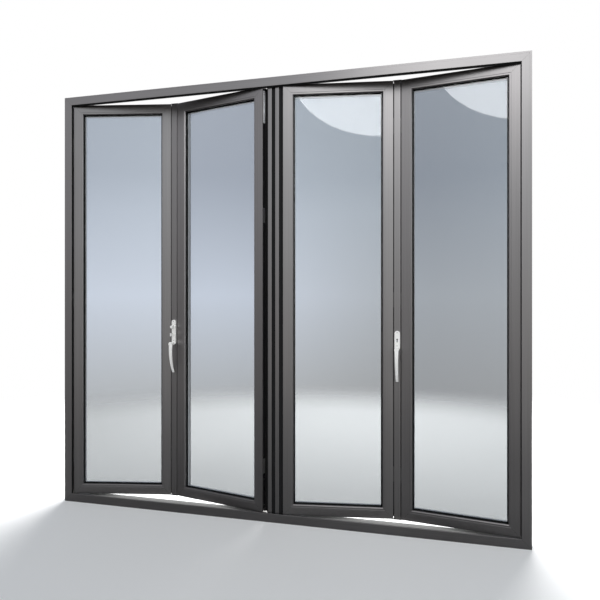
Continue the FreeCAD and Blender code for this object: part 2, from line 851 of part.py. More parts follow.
def flush_bolt(top, free_end):
    """Bolt plate with a slot and its sliding button."""
    if top:
        bottom = leaf_top - bolt_plate_drop - bolt_plate_length
    else:
        bottom = leaf_bottom + bolt_plate_drop
    plate = edge_plate(bottom, bolt_plate_length, free_end, top, not top)
    middle = bottom + bolt_plate_length / 2.0
    edge = leaf_width if free_end > 0 else 0.0
    inward = -1.0 if free_end > 0 else 1.0
    x0, x1 = sorted((edge, edge + inward * bolt_plate_thickness))
    half_slot = bolt_slot_width / 2.0
    slot = box(x0, x1, groove_middle - half_slot, groove_middle + half_slot,
               middle - bolt_slot_length / 2.0, middle + bolt_slot_length / 2.0)
    plate = plate.cut(slot)
    y0, y1 = groove_middle - bolt_slide_width / 2.0, groove_middle + bolt_slide_width / 2.0
    travel = bolt_slide_travel if top else -bolt_slide_travel
    start = middle + travel - bolt_slide_length / 2.0
    outer = edge + inward * bolt_slide_recess
    x0, x1 = sorted((outer, edge + inward * bolt_plate_thickness))
    button = box(x0, x1, y0, y1, start, start + bolt_slide_length)
    return plate.fuse(button)


def build_edge_hardware():
    """Flush bolts and lock plates of the two free edges, and keeps on the centre post."""
    bolts = []
    locks = []
    seals = []
    for place, free_end in ((left_plan["meeting_leaf"], 1), (right_plan["meeting_leaf"], -1)):
        bolts.append(placed(flush_bolt(True, free_end), place))
        bolts.append(placed(flush_bolt(False, free_end), place))
        for height in lock_plate_heights:
            plate = edge_plate(height - lock_plate_length / 2.0, lock_plate_length, free_end, False, False)
            locks.append(placed(plate, place))
        edge = leaf_width if free_end > 0 else 0.0
        reach = edge + (meeting_seal_reach if free_end > 0 else -meeting_seal_reach)
        start = edge_groove_front + edge_groove_width + meeting_seal_inset
        strip = plan([
            (edge, start, 0.0),
            (reach, start + seal_chamfer, 0.0),
            (reach, start + meeting_seal_width - seal_chamfer, 0.0),
            (edge, start + meeting_seal_width, 0.0),
        ], leaf_bottom, leaf_height)
        seals.append(placed(strip, place))
    keeps = []
    for side in (-1, 1):
        for height in lock_plate_heights:
            outer = centre_post_shift + side * post_half
            inner = centre_post_shift + side * (post_half - edge_groove_depth)
            x0, x1 = sorted((inner, outer))
            keep = box(x0, x1, leaf_plane + edge_groove_front + hardware_clearance,
                       leaf_plane + edge_groove_front + edge_groove_width - hardware_clearance,
                       height - lock_plate_length / 2.0, height + lock_plate_length / 2.0)
            keeps.append(keep)
    save("flush_bolts", bolts)
    save("lock_plates", locks)
    save("lock_keeps", keeps)
    save("meeting_seals", seals)


# Handles
def handle_plate(middle, length, width):
    """Long rounded plate on the face of a fold post."""
    half = width / 2.0
    face = middle.y - pivot_depth
    low = handle_pivot_height - plate_below_pivot
    corners = [
        (Vector(middle.x - half, face, low), half - round_end_margin),
        (Vector(middle.x + half, face, low), half - round_end_margin),
        (Vector(middle.x + half, face, low + length), half - round_end_margin),
        (Vector(middle.x - half, face, low + length), half - round_end_margin),
    ]
    plate = Part.Face(rounded_wire(corners)).extrude(Vector(0.0, -handle_plate_thickness, 0.0))
    front_edges = [edge for edge in plate.Edges
                   if abs(edge.BoundBox.YMin - (face - handle_plate_thickness)) < 0.01
                   and abs(edge.BoundBox.YMax - (face - handle_plate_thickness)) < 0.01]
    return plate.makeFillet(plate_rounding, front_edges)


def lever(middle):
    """Crescent lever: a loft that bows away from the post and comes back at its tip."""
    plate_front = middle.y - pivot_depth - handle_plate_thickness
    top = Vector(0.0, plate_front - (lever_stand_off - handle_plate_thickness), handle_pivot_height)
    tip = Vector(0.0, middle.y - pivot_depth - lever_tip_stand_off, handle_pivot_height - lever_drop)
    chord = tip - top
    belly = (top + tip) / 2.0 + Vector(0.0, -chord.z, chord.y).normalize() * (-lever_bow * chord.Length)
    arc = Part.Arc(top, belly, tip)
    wires = []
    for index in range(lever_sections):
        share = index / (lever_sections - 1.0)
        parameter = arc.FirstParameter + share * (arc.LastParameter - arc.FirstParameter)
        centre = arc.value(parameter)
        along = arc.tangent(parameter)[0]
        across = Vector(1.0, 0.0, 0.0)
        through = along.cross(across).normalize()
        width = lever_width_top + share * (lever_width_tip - lever_width_top)
        thick = lever_thickness_top + share * (lever_thickness_tip - lever_thickness_top)
        corners = []
        for sx, st in ((-1, -1), (1, -1), (1, 1), (-1, 1)):
            point = centre + across * (sx * width / 2.0) + through * (st * thick / 2.0)
            corners.append((point, thick * lever_corner_share))
        wires.append(rounded_wire(corners))
    blade = Part.makeLoft(wires, True, False)
    boss = lever_thickness_top + 2.0 * lever_boss_margin
    head = Part.makeCylinder(lever_width_top / 2.0 + lever_boss_margin, boss,
                             top + Vector(0.0, -boss / 2.0, 0.0), Vector(0.0, 1.0, 0.0))
    neck_start = top.y + boss / 2.0 - hub_bite
    neck = Part.makeCylinder(hub_diameter / 2.0, plate_front - neck_start,
                             Vector(0.0, neck_start, handle_pivot_height), Vector(0.0, 1.0, 0.0))
    solid = blade.fuse(head).fuse(neck).removeSplitter()
    solid.translate(Vector(middle.x, 0.0, 0.0))
    return solid


def key_cylinder(middle):
    """Profile cylinder that stands out of the left plate."""
    face = middle.y - pivot_depth - handle_plate_thickness
    height = handle_pivot_height + cylinder_height
    barrel = Part.makeCylinder(cylinder_width / 2.0, cylinder_length - handle_plate_thickness,
                               Vector(middle.x, face - cylinder_length + handle_plate_thickness, height),
                               Vector(0.0, 1.0, 0.0))
    half_web = cylinder_web_width / 2.0
    web = box(middle.x - half_web, middle.x + half_web, face - cylinder_web_length, face,
              height - cylinder_web_drop, height - cylinder_web_top)
    return barrel.fuse(web).removeSplitter()


def thumb_turn(middle):
    """Small turn below the cylinder on the left plate."""
    face = middle.y - pivot_depth - handle_plate_thickness
    height = handle_pivot_height + turn_height
    stem = Part.makeCylinder(turn_stem_diameter / 2.0, turn_stem_length,
                             Vector(middle.x, face - turn_stem_length, height), Vector(0.0, 1.0, 0.0))
    half_thick = turn_thickness / 2.0
    grip = box(middle.x - half_thick, middle.x + half_thick, face - turn_length,
               face - turn_stem_length + hub_bite, height - turn_width / 2.0, height + turn_width / 2.0)
    return stem.fuse(grip).removeSplitter()


def build_handles():
    """Plates, levers, cylinder and turn on the two fold posts."""
    left = left_plan["post_middle"]
    right = right_plan["post_middle"]
    save("left_handle_plate", [handle_plate(left, left_plate_length, left_plate_width)])
    save("right_handle_plate", [handle_plate(right, right_plate_length, right_plate_width)])
    save("left_handle_lever", [lever(left)])
    save("right_handle_lever", [lever(right)])
    save("left_key_cylinder", [key_cylinder(left)])
    save("left_thumb_turn", [thumb_turn(left)])


os.makedirs("parts", exist_ok=True)
build_frame()
build_tracks()
build_leaves()
build_posts()
build_frame_seals()
build_hinges()
build_running_gear()
build_edge_hardware()
build_handles()
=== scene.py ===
"""Finishes, small fittings and studio of the half folded aluminium patio door.

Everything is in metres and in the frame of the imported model: the origin is the
middle of the sill's underside, X runs along the sill, Y runs away from the
viewer's side and Z runs up.
"""

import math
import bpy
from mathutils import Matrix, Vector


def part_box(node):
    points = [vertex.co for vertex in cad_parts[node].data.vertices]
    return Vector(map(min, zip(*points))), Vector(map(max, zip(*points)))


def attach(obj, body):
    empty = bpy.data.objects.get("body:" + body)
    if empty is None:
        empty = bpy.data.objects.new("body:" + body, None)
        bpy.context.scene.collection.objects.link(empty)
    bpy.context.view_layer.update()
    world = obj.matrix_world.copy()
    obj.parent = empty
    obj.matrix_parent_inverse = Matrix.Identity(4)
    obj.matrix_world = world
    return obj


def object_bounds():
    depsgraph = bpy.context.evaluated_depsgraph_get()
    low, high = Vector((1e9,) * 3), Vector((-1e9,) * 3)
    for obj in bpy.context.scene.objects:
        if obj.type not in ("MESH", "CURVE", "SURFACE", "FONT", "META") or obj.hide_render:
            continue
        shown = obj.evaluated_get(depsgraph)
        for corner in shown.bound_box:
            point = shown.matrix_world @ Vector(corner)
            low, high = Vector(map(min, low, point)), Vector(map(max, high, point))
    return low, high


bl_info = {
    "name": "Folding patio door dressing",
    "version": (1, 0, 0),
    "blender": (4, 5, 0),
    "location": "3D View > Sidebar > Patio Door",
    "description": "Dresses the packed patio door with its finishes, screws, seams and studio",
    "category": "Object",
}

import bmesh
import bpy
from bpy.props import FloatProperty, FloatVectorProperty, PointerProperty
from bpy.types import Operator, Panel, PropertyGroup
from mathutils import Matrix, Vector

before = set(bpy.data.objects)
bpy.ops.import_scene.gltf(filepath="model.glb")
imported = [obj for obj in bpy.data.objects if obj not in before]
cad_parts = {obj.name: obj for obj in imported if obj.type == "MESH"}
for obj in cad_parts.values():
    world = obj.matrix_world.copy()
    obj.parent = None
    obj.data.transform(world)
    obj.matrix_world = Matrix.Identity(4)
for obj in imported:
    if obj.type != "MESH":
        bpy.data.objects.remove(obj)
cad_low, cad_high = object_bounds()
MM = 0.001

# Camera at the photograph's angle; the shift is a share of the sensor's width
CAMERA_PLACE = (0.946, -3.019, 1.222)
CAMERA_TURN = (math.radians(90.0), 0.0, math.radians(14.98))
CAMERA_SHIFT_UP = -0.0072
SENSOR_WIDTH = 36.0

# Soft lights as (place, point they aim at, size of the oval)
KEY_LIGHT = ((1.0, -1.9, 3.2), (0.9, 0.0, 1.2), (1.7, 1.3))
BACK_LIGHT = ((0.0, 2.9, 4.3), (0.0, 2.4, 0.0), (5.0, 2.8))

# Floor disc: its radius, where it starts to fade, and the share of its colour kept as painted shade
# where it is only mirrored or only seen through a pane
FLOOR_REACH = 5.0
FLOOR_FADE_START = 2.9
FLOOR_SIDES = 64
PAINTED_SHADE_MIRRORED_FLOOR = 0.10
PAINTED_SHADE_BEHIND_PANE = 0.31

SCREW_SIDES = 20
# Turns the XY plane of a screw or a plate upright, with its outside towards -Y
TOWARDS_VIEWER = Matrix.Rotation(math.radians(90.0), 4, "X")


def hex_colour(text):
    """Linear RGBA of an sRGB hex colour such as #8a8886."""
    values = []
    for start in (1, 3, 5):
        value = int(text[start:start + 2], 16) / 255.0
        values.append(value / 12.92 if value <= 0.04045 else ((value + 0.055) / 1.055) ** 2.4)
    return (*values, 1.0)


def shaded(colour, factor, lift=0.0):
    """Linear RGBA of a colour made darker or lighter by a factor."""
    return [channel * factor + lift for channel in colour[:3]] + [1.0]


def add_node(tree, kind, settings=None, inputs=None):
    """One node with its settings; each input is a value or the socket that feeds it."""
    made = tree.nodes.new(kind)
    for name, value in (settings or {}).items():
        setattr(made, name, value)
    for name, value in (inputs or {}).items():
        if isinstance(value, bpy.types.NodeSocket):
            tree.links.new(value, made.inputs[name])
        else:
            made.inputs[name].default_value = value
    return made


def new_material(name):
    """Empty node material, or the one of that name if it has been made already."""
    found = bpy.data.materials.get(name)
    if found is not None:
        return found, None
    material = bpy.data.materials.new(name)
    material.use_nodes = True
    material.node_tree.nodes.clear()
    return material, material.node_tree


def surface_from(tree, shader):
    """Joins a shader to the material's output."""
    add_node(tree, "ShaderNodeOutputMaterial", inputs={"Surface": shader.outputs[0]})


# Sizes and colours that a user may change
class DoorFinishes(PropertyGroup):
    """Colours of the door's finishes."""

    frame_colour: FloatVectorProperty(
        name="Frame", description="Anodised aluminium of frame, leaves and posts",
        subtype="COLOR", size=4, min=0.0, max=1.0, default=hex_colour("#8d8a8a"))
    glass_colour: FloatVectorProperty(
        name="Glass", description="Tint of one pane of float glass",
        subtype="COLOR", size=4, min=0.0, max=1.0, default=hex_colour("#f3f5f6"))
    seal_colour: FloatVectorProperty(
        name="Seals", description="Extruded rubber of all gaskets",
        subtype="COLOR", size=4, min=0.0, max=1.0, default=hex_colour("#0b0b0c"))
    handle_colour: FloatVectorProperty(
        name="Handles", description="Satin nickel of plates and levers",
        subtype="COLOR", size=4, min=0.0, max=1.0, default=hex_colour("#fffdfa"))
    fitting_colour: FloatVectorProperty(
        name="Dark fittings", description="Coated steel of hinges and hangers",
        subtype="COLOR", size=4, min=0.0, max=1.0, default=hex_colour("#4b4a49"))


class DoorDetailSizes(PropertyGroup):
    """Sizes of the small pieces that dress the door."""

    screw_head: FloatProperty(
        name="Screw head", description="Diameter of a countersunk screw head",
        unit="LENGTH", min=0.003, max=0.012, default=6.4 * MM)
    screw_rise: FloatProperty(
        name="Screw rise", description="How far a screw head stands above its plate",
        unit="LENGTH", min=0.0001, max=0.001, default=0.3 * MM)
    seam_width: FloatProperty(
        name="Mitre seam", description="Width of the hairline where two mitred bars meet",
        unit="LENGTH", min=0.0002, max=0.002, default=0.5 * MM)


class StudioSettings(PropertyGroup):
    """Camera and light of the studio."""

    floor_colour: FloatVectorProperty(
        name="Floor", description="Pale studio floor",
        subtype="COLOR", size=4, min=0.0, max=1.0, default=hex_colour("#fafaf9"))
    focal_length: FloatProperty(
        name="Focal length", description="Focal length of the camera in millimetres",
        min=10.0, max=200.0, default=34.8)
    key_power: FloatProperty(
        name="Key light", description="Power of the round soft light above the door's front",
        subtype="POWER", min=0.0, max=5000.0, default=15.0)
    back_power: FloatProperty(
        name="Back light", description="Power of the soft light over the floor behind the door",
        subtype="POWER", min=0.0, max=5000.0, default=760.0)


# Materials
def anodised_aluminium(upright):
    """Grey anodised aluminium: a satin metal with fine extrusion lines along each bar."""
    # Extruded, etched and dyed in an anodising bath: soft wide highlights, faint die lines and
    # no gloss
    name = "anodised aluminium, upright bars" if upright else "anodised aluminium, level bars"
    material, tree = new_material(name)
    if tree is None:
        return material
    colour = bpy.context.scene.door_finishes.frame_colour
    # Die lines about 4 mm apart across a bar and a metre long, coarser than real so that they show
    across, along = 260.0, 0.9
    stretch = (across, across, along) if upright else (along, across, across)
    coordinates = add_node(tree, "ShaderNodeTexCoord")
    drawn = add_node(tree, "ShaderNodeMapping", inputs={
        "Vector": coordinates.outputs["Object"], "Scale": stretch})
    die_lines = add_node(tree, "ShaderNodeTexNoise", inputs={
        "Vector": drawn.outputs[0], "Scale": 1.0, "Detail": 3.0, "Roughness": 0.6})
    cloud = add_node(tree, "ShaderNodeTexNoise", inputs={
        "Vector": coordinates.outputs["Object"], "Scale": 2.6, "Detail": 2.0})
    # Etched grain of about a third of a millimetre, drawn as coarse as a millimetre to show
    grain = add_node(tree, "ShaderNodeTexNoise", inputs={
        "Vector": coordinates.outputs["Object"], "Scale": 900.0, "Detail": 1.0})
    tone = add_node(tree, "ShaderNodeMix", {"data_type": "RGBA"}, {
        0: die_lines.outputs[0], 6: shaded(colour, 0.80), 7: shaded(colour, 1.18)})
    rough_lines = add_node(tree, "ShaderNodeMapRange", inputs={
        "Value": die_lines.outputs[0], "To Min": 0.30, "To Max": 0.40})
    rough = add_node(tree, "ShaderNodeMath", {"operation": "MULTIPLY_ADD"}, {
        0: cloud.outputs[0], 1: 0.10, 2: rough_lines.outputs[0]})
    lines = add_node(tree, "ShaderNodeBump", inputs={
        "Height": die_lines.outputs[0], "Strength": 0.08, "Distance": 0.2 * MM})
    etch = add_node(tree, "ShaderNodeBump", inputs={
        "Height": grain.outputs[0], "Strength": 0.05, "Distance": 0.1 * MM,
        "Normal": lines.outputs[0]})
    shader = add_node(tree, "ShaderNodeBsdfPrincipled", inputs={
        "Base Color": tone.outputs[2], "Metallic": 1.0, "Roughness": rough.outputs[0],
        "Normal": etch.outputs[0]})
    surface_from(tree, shader)
    return material


def plain_anodised():
    """Natural anodised aluminium of the tracks: paler than the frame and worn smooth by wheels."""
    # Extruded and clear anodised: pale silver with lines along the run
    material, tree = new_material("natural anodised aluminium")
    if tree is None:
        return material
    coordinates = add_node(tree, "ShaderNodeTexCoord")
    drawn = add_node(tree, "ShaderNodeMapping", inputs={
        "Vector": coordinates.outputs["Object"], "Scale": (1.5, 400.0, 400.0)})
    lines = add_node(tree, "ShaderNodeTexNoise", inputs={
        "Vector": drawn.outputs[0], "Scale": 1.0, "Detail": 3.0})
    tone = add_node(tree, "ShaderNodeMix", {"data_type": "RGBA"}, {
        0: lines.outputs[0], 6: hex_colour("#8f8d8b"), 7: hex_colour("#b5b3b1")})
    rough = add_node(tree, "ShaderNodeMapRange", inputs={
        "Value": lines.outputs[0], "To Min": 0.28, "To Max": 0.42})
    bump = add_node(tree, "ShaderNodeBump", inputs={
        "Height": lines.outputs[0], "Strength": 0.1, "Distance": 0.2 * MM})
    shader = add_node(tree, "ShaderNodeBsdfPrincipled", inputs={
        "Base Color": tone.outputs[2], "Metallic": 1.0, "Roughness": rough.outputs[0],
        "Normal": bump.outputs[0]})
    surface_from(tree, shader)
    return material


def matt_anodised():
    """Pale matt anodised aluminium of the strips along the sill."""
    # Extruded, shot matt and clear anodised: an even pale grey that scatters more than it mirrors
    material, tree = new_material("matt anodised aluminium")
    if tree is None:
        return material
    coordinates = add_node(tree, "ShaderNodeTexCoord")
    drawn = add_node(tree, "ShaderNodeMapping", inputs={
        "Vector": coordinates.outputs["Object"], "Scale": (2.0, 500.0, 500.0)})
    lines = add_node(tree, "ShaderNodeTexNoise", inputs={
        "Vector": drawn.outputs[0], "Scale": 1.0, "Detail": 3.0})
    tone = add_node(tree, "ShaderNodeMix", {"data_type": "RGBA"}, {
        0: lines.outputs[0], 6: hex_colour("#bab8b5"), 7: hex_colour("#e2e0dc")})
    rough = add_node(tree, "ShaderNodeMapRange", inputs={
        "Value": lines.outputs[0], "To Min": 0.42, "To Max": 0.55})
    shader = add_node(tree, "ShaderNodeBsdfPrincipled", inputs={
        "Base Color": tone.outputs[2], "Metallic": 0.25, "Roughness": rough.outputs[0]})
    surface_from(tree, shader)
    return material


def float_glass():
    """Clear float glass of the sealed units."""
    # Floated on molten tin: mirror flat with a faint blue grey cast. Toughening leaves long
    # shallow roller waves
    material, tree = new_material("clear float glass")
    if tree is None:
        return material
    coordinates = add_node(tree, "ShaderNodeTexCoord")
    # Roller waves are about 300 mm apart along the height of a toughened pane
    waves = add_node(tree, "ShaderNodeMapping", inputs={
        "Vector": coordinates.outputs["Object"], "Scale": (0.4, 0.4, 3.3)})
    wave = add_node(tree, "ShaderNodeTexNoise", inputs={
        "Vector": waves.outputs[0], "Scale": 1.0, "Detail": 1.0})
    bump = add_node(tree, "ShaderNodeBump", inputs={
        "Height": wave.outputs[0], "Strength": 0.04, "Distance": 1.0 * MM})
    shader = add_node(tree, "ShaderNodeBsdfPrincipled", inputs={
        "Base Color": bpy.context.scene.door_finishes.glass_colour, "Roughness": 0.0,
        "IOR": 1.52, "Transmission Weight": 1.0, "Normal": bump.outputs[0]})
    surface_from(tree, shader)
    return material


def black_rubber():
    """Matt black rubber of the gaskets."""
    # Extruded EPDM with a bloom of talc: nearly black, dull, slightly uneven
    material, tree = new_material("extruded EPDM rubber")
    if tree is None:
        return material
    colour = bpy.context.scene.door_finishes.seal_colour
    coordinates = add_node(tree, "ShaderNodeTexCoord")
    bloom = add_node(tree, "ShaderNodeTexNoise", inputs={
        "Vector": coordinates.outputs["Object"], "Scale": 60.0, "Detail": 4.0})
    tone = add_node(tree, "ShaderNodeMix", {"data_type": "RGBA"}, {
        0: bloom.outputs[0], 6: colour, 7: shaded(colour, 2.2, 0.004)})
    rough = add_node(tree, "ShaderNodeMapRange", inputs={
        "Value": bloom.outputs[0], "To Min": 0.55, "To Max": 0.85})
    bump = add_node(tree, "ShaderNodeBump", inputs={
        "Height": bloom.outputs[0], "Strength": 0.15, "Distance": 0.2 * MM})
    shader = add_node(tree, "ShaderNodeBsdfPrincipled", inputs={
        "Base Color": tone.outputs[2], "Roughness": rough.outputs[0], "Specular IOR Level": 0.22,
        "Normal": bump.outputs[0]})
    surface_from(tree, shader)
    return material


def spacer_aluminium():
    """Roll-formed aluminium of the spacer bars with the black sealant on their sides."""
    # Roll formed with breathing holes every 5 mm, then bonded to the panes with black butyl
    material, tree = new_material("roll-formed aluminium with butyl sealant")
    if tree is None:
        return material
    coordinates = add_node(tree, "ShaderNodeTexCoord")
    holes = add_node(tree, "ShaderNodeTexVoronoi", inputs={
        "Vector": coordinates.outputs["Object"], "Scale": 200.0, "Randomness": 0.0})
    # The breathing holes are drawn as dark dots: painted shade in the openings, not holes in the
    # mesh
    dot = add_node(tree, "ShaderNodeMapRange", inputs={
        "Value": holes.outputs["Distance"], "From Min": 0.10, "From Max": 0.16})
    tone = add_node(tree, "ShaderNodeMix", {"data_type": "RGBA"}, {
        0: dot.outputs[0], 6: hex_colour("#4a4b4d"), 7: hex_colour("#eeeff1")})
    # The sides against the panes are the ones that face along the door's depth
    facing = add_node(tree, "ShaderNodeSeparateXYZ", inputs={0: coordinates.outputs["Normal"]})
    depthwise = add_node(tree, "ShaderNodeMath", {"operation": "ABSOLUTE"}, {
        0: facing.outputs["Y"]})
    against_pane = add_node(tree, "ShaderNodeMath", {"operation": "GREATER_THAN"}, {
        0: depthwise.outputs[0], 1: 0.6})
    # Matt from rolling, so the bare bar scatters much of the light instead of mirroring it
    bare_metal = 0.35
    bar = add_node(tree, "ShaderNodeMath", {"operation": "MULTIPLY_ADD"}, {
        0: against_pane.outputs[0], 1: -bare_metal, 2: bare_metal})
    sealed = add_node(tree, "ShaderNodeMix", {"data_type": "RGBA"}, {
        0: against_pane.outputs[0], 6: tone.outputs[2], 7: hex_colour("#0c0c0d")})
    bump = add_node(tree, "ShaderNodeBump", inputs={
        "Height": dot.outputs[0], "Strength": 0.2, "Distance": 0.2 * MM})
    shader = add_node(tree, "ShaderNodeBsdfPrincipled", inputs={
        "Base Color": sealed.outputs[2], "Metallic": bar.outputs[0], "Roughness": 0.4,
        "Normal": bump.outputs[0]})
    surface_from(tree, shader)
    return material


def satin_nickel():
    """Satin nickel plate of the handles."""
    # Cast zinc, linished upright, nickel plated: bright, soft upright streaks
    material, tree = new_material("satin nickel plate")
    if tree is None:
        return material
    colour = bpy.context.scene.door_finishes.handle_colour
    coordinates = add_node(tree, "ShaderNodeTexCoord")
    linished = add_node(tree, "ShaderNodeMapping", inputs={
        "Vector": coordinates.outputs["Object"], "Scale": (1800.0, 1800.0, 60.0)})
    streaks = add_node(tree, "ShaderNodeTexNoise", inputs={
        "Vector": linished.outputs[0], "Scale": 1.0, "Detail": 2.0})
    tone = add_node(tree, "ShaderNodeMix", {"data_type": "RGBA"}, {
        0: streaks.outputs[0], 6: shaded(colour, 0.92), 7: colour})
    rough = add_node(tree, "ShaderNodeMapRange", inputs={
        "Value": streaks.outputs[0], "To Min": 0.28, "To Max": 0.40})
    bump = add_node(tree, "ShaderNodeBump", inputs={
        "Height": streaks.outputs[0], "Strength": 0.06, "Distance": 0.1 * MM})
    # A clear lacquer over the plating scatters part of the light, so the levers stay pale all round
    shader = add_node(tree, "ShaderNodeBsdfPrincipled", inputs={
        "Base Color": tone.outputs[2], "Metallic": 0.22, "Roughness": rough.outputs[0],
        "Normal": bump.outputs[0]})
    surface_from(tree, shader)
    return material


def brushed_stainless():
    """Brushed stainless steel of lock plates, keeps and screws."""
    # Cold rolled and brushed along its length: pale grey with fine upright lines
    material, tree = new_material("brushed stainless steel")
    if tree is None:
        return material
    coordinates = add_node(tree, "ShaderNodeTexCoord")
    brushed = add_node(tree, "ShaderNodeMapping", inputs={
        "Vector": coordinates.outputs["Object"], "Scale": (1500.0, 1500.0, 25.0)})
    lines = add_node(tree, "ShaderNodeTexNoise", inputs={
        "Vector": brushed.outputs[0], "Scale": 1.0, "Detail": 2.0})
    tone = add_node(tree, "ShaderNodeMix", {"data_type": "RGBA"}, {
        0: lines.outputs[0], 6: hex_colour("#a9a8a6"), 7: hex_colour("#d8d7d5")})
    rough = add_node(tree, "ShaderNodeMapRange", inputs={
        "Value": lines.outputs[0], "To Min": 0.26, "To Max": 0.44})
    bump = add_node(tree, "ShaderNodeBump", inputs={
        "Height": lines.outputs[0], "Strength": 0.08, "Distance": 0.1 * MM})
    shader = add_node(tree, "ShaderNodeBsdfPrincipled", inputs={
        "Base Color": tone.outputs[2], "Metallic": 1.0, "Roughness": rough.outputs[0],
        "Normal": bump.outputs[0]})
    surface_from(tree, shader)
    return material


def zinc_plate():
    """Zinc plated steel of the upper flush bolts; the lower ones are drawn near black as painted
    shade.
    """
    # Electroplated bright and clear passivated: a pale silver skin, softly clouded. On the bolts in
    # the lower half of the door a near black painted shade covers it
    shade_below = 1.0
    material, tree = new_material("zinc plated steel")
    if tree is None:
        return material
    coordinates = add_node(tree, "ShaderNodeTexCoord")
    cloud = add_node(tree, "ShaderNodeTexNoise", inputs={
        "Vector": coordinates.outputs["Object"], "Scale": 120.0, "Detail": 3.0})
    tone = add_node(tree, "ShaderNodeMix", {"data_type": "RGBA"}, {
        0: cloud.outputs[0], 6: hex_colour("#e6e7ea"), 7: hex_colour("#fbfbfc")})
    # Painted shade: below Z 1.0 the bolts are drawn near black, where the lower edge gap lies dark
    place = add_node(tree, "ShaderNodeSeparateXYZ", inputs={0: coordinates.outputs["Object"]})
    in_painted_shade = add_node(tree, "ShaderNodeMath", {"operation": "LESS_THAN"}, {
        0: place.outputs["Z"], 1: shade_below})
    skin = add_node(tree, "ShaderNodeMix", {"data_type": "RGBA"}, {
        0: in_painted_shade.outputs[0], 6: tone.outputs[2], 7: hex_colour("#101011")})
    shader = add_node(tree, "ShaderNodeBsdfPrincipled", inputs={
        "Base Color": skin.outputs[2], "Metallic": 0.3, "Roughness": 0.3})
    surface_from(tree, shader)
    return material


def coated_steel():
    """Powder coated steel of hinges, hangers and guides."""
    # Sprayed and baked: a dark grey skin with a slight orange peel about 2 mm across
    material, tree = new_material("powder coated steel")
    if tree is None:
        return material
    colour = bpy.context.scene.door_finishes.fitting_colour
    coordinates = add_node(tree, "ShaderNodeTexCoord")
    peel = add_node(tree, "ShaderNodeTexNoise", inputs={
        "Vector": coordinates.outputs["Object"], "Scale": 500.0, "Detail": 2.0})
    tone = add_node(tree, "ShaderNodeMix", {"data_type": "RGBA"}, {
        0: peel.outputs[0], 6: shaded(colour, 0.85), 7: colour})
    bump = add_node(tree, "ShaderNodeBump", inputs={
        "Height": peel.outputs[0], "Strength": 0.2, "Distance": 0.1 * MM})
    shader = add_node(tree, "ShaderNodeBsdfPrincipled", inputs={
        "Base Color": tone.outputs[2], "Roughness": 0.45, "Normal": bump.outputs[0]})
    surface_from(tree, shader)
    return material


def moulded_nylon():
    """Moulded nylon of the hanger wheels and post caps, and of the keyhole liner whose dark is
    painted shade of the opening.
    """
    # Injection moulded polyamide dyed in the mass: nearly black, slightly waxy
    material, tree = new_material("moulded nylon")
    if tree is None:
        return material
    coordinates = add_node(tree, "ShaderNodeTexCoord")
    flow = add_node(tree, "ShaderNodeTexNoise", inputs={
        "Vector": coordinates.outputs["Object"], "Scale": 300.0, "Detail": 2.0})
    tone = add_node(tree, "ShaderNodeMix", {"data_type": "RGBA"}, {
        0: flow.outputs[0], 6: hex_colour("#26262a"), 7: hex_colour("#35353a")})
    shader = add_node(tree, "ShaderNodeBsdfPrincipled", inputs={
        "Base Color": tone.outputs[2], "Roughness": 0.42, "IOR": 1.53})
    surface_from(tree, shader)
    return material


def dress(nodes, material):
    """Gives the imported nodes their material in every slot."""
    for name in nodes:
        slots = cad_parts[name].data.materials
        if not len(slots):
            slots.append(material)
        for index in range(len(slots)):
            slots[index] = material


# Small pieces
def finished_piece(name, mesh, material):
    """Object of a bmesh that rides on the door and takes a finish."""
    data = bpy.data.meshes.new(name)
    bmesh.ops.recalc_face_normals(mesh, faces=mesh.faces)
    mesh.to_mesh(data)
    mesh.free()
    data.materials.append(material)
    piece = bpy.data.objects.new(name, data)
    bpy.context.scene.collection.objects.link(piece)
    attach(piece, "root")
    return piece


def leaf_placing(number):
    """Matrix from leaf coordinates to the door, read from the leaf's own bars.

    Leaf coordinates start at the leaf's lower left front corner. X runs along the
    leaf, Y runs into its depth and Z runs up.
    """
    points = []
    for part in ("left_stile", "right_stile"):
        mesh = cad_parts["leaf_%d_%s" % (number, part)].data
        points.extend(vertex.co.copy() for vertex in mesh.vertices)
    pane = [vertex.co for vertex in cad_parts["leaf_%d_glass" % number].data.vertices]
    count = float(len(pane))
    mid_x = sum(point.x for point in pane) / count
    mid_y = sum(point.y for point in pane) / count
    spread_x = sum((point.x - mid_x) ** 2 for point in pane)
    spread_y = sum((point.y - mid_y) ** 2 for point in pane)
    shared = sum((point.x - mid_x) * (point.y - mid_y) for point in pane)
    angle = 0.5 * math.atan2(2.0 * shared, spread_x - spread_y)
    along = Vector((math.cos(angle), math.sin(angle), 0.0))
    deep = Vector((-math.sin(angle), math.cos(angle), 0.0))
    corner = along * min(point.dot(along) for point in points)
    corner += deep * min(point.dot(deep) for point in points)
    corner.z = min(point.z for point in points)
    return Matrix.Translation(corner) @ Matrix.Rotation(angle, 4, "Z")


def points_in_leaf(placing, node, on_left=None):
    """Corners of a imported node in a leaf's coordinates: all, or those on one side of X = 0."""
    inverse = placing.inverted()
    return [inverse @ vertex.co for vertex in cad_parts[node].data.vertices
            if on_left is None or (vertex.co.x < 0.0) == on_left]


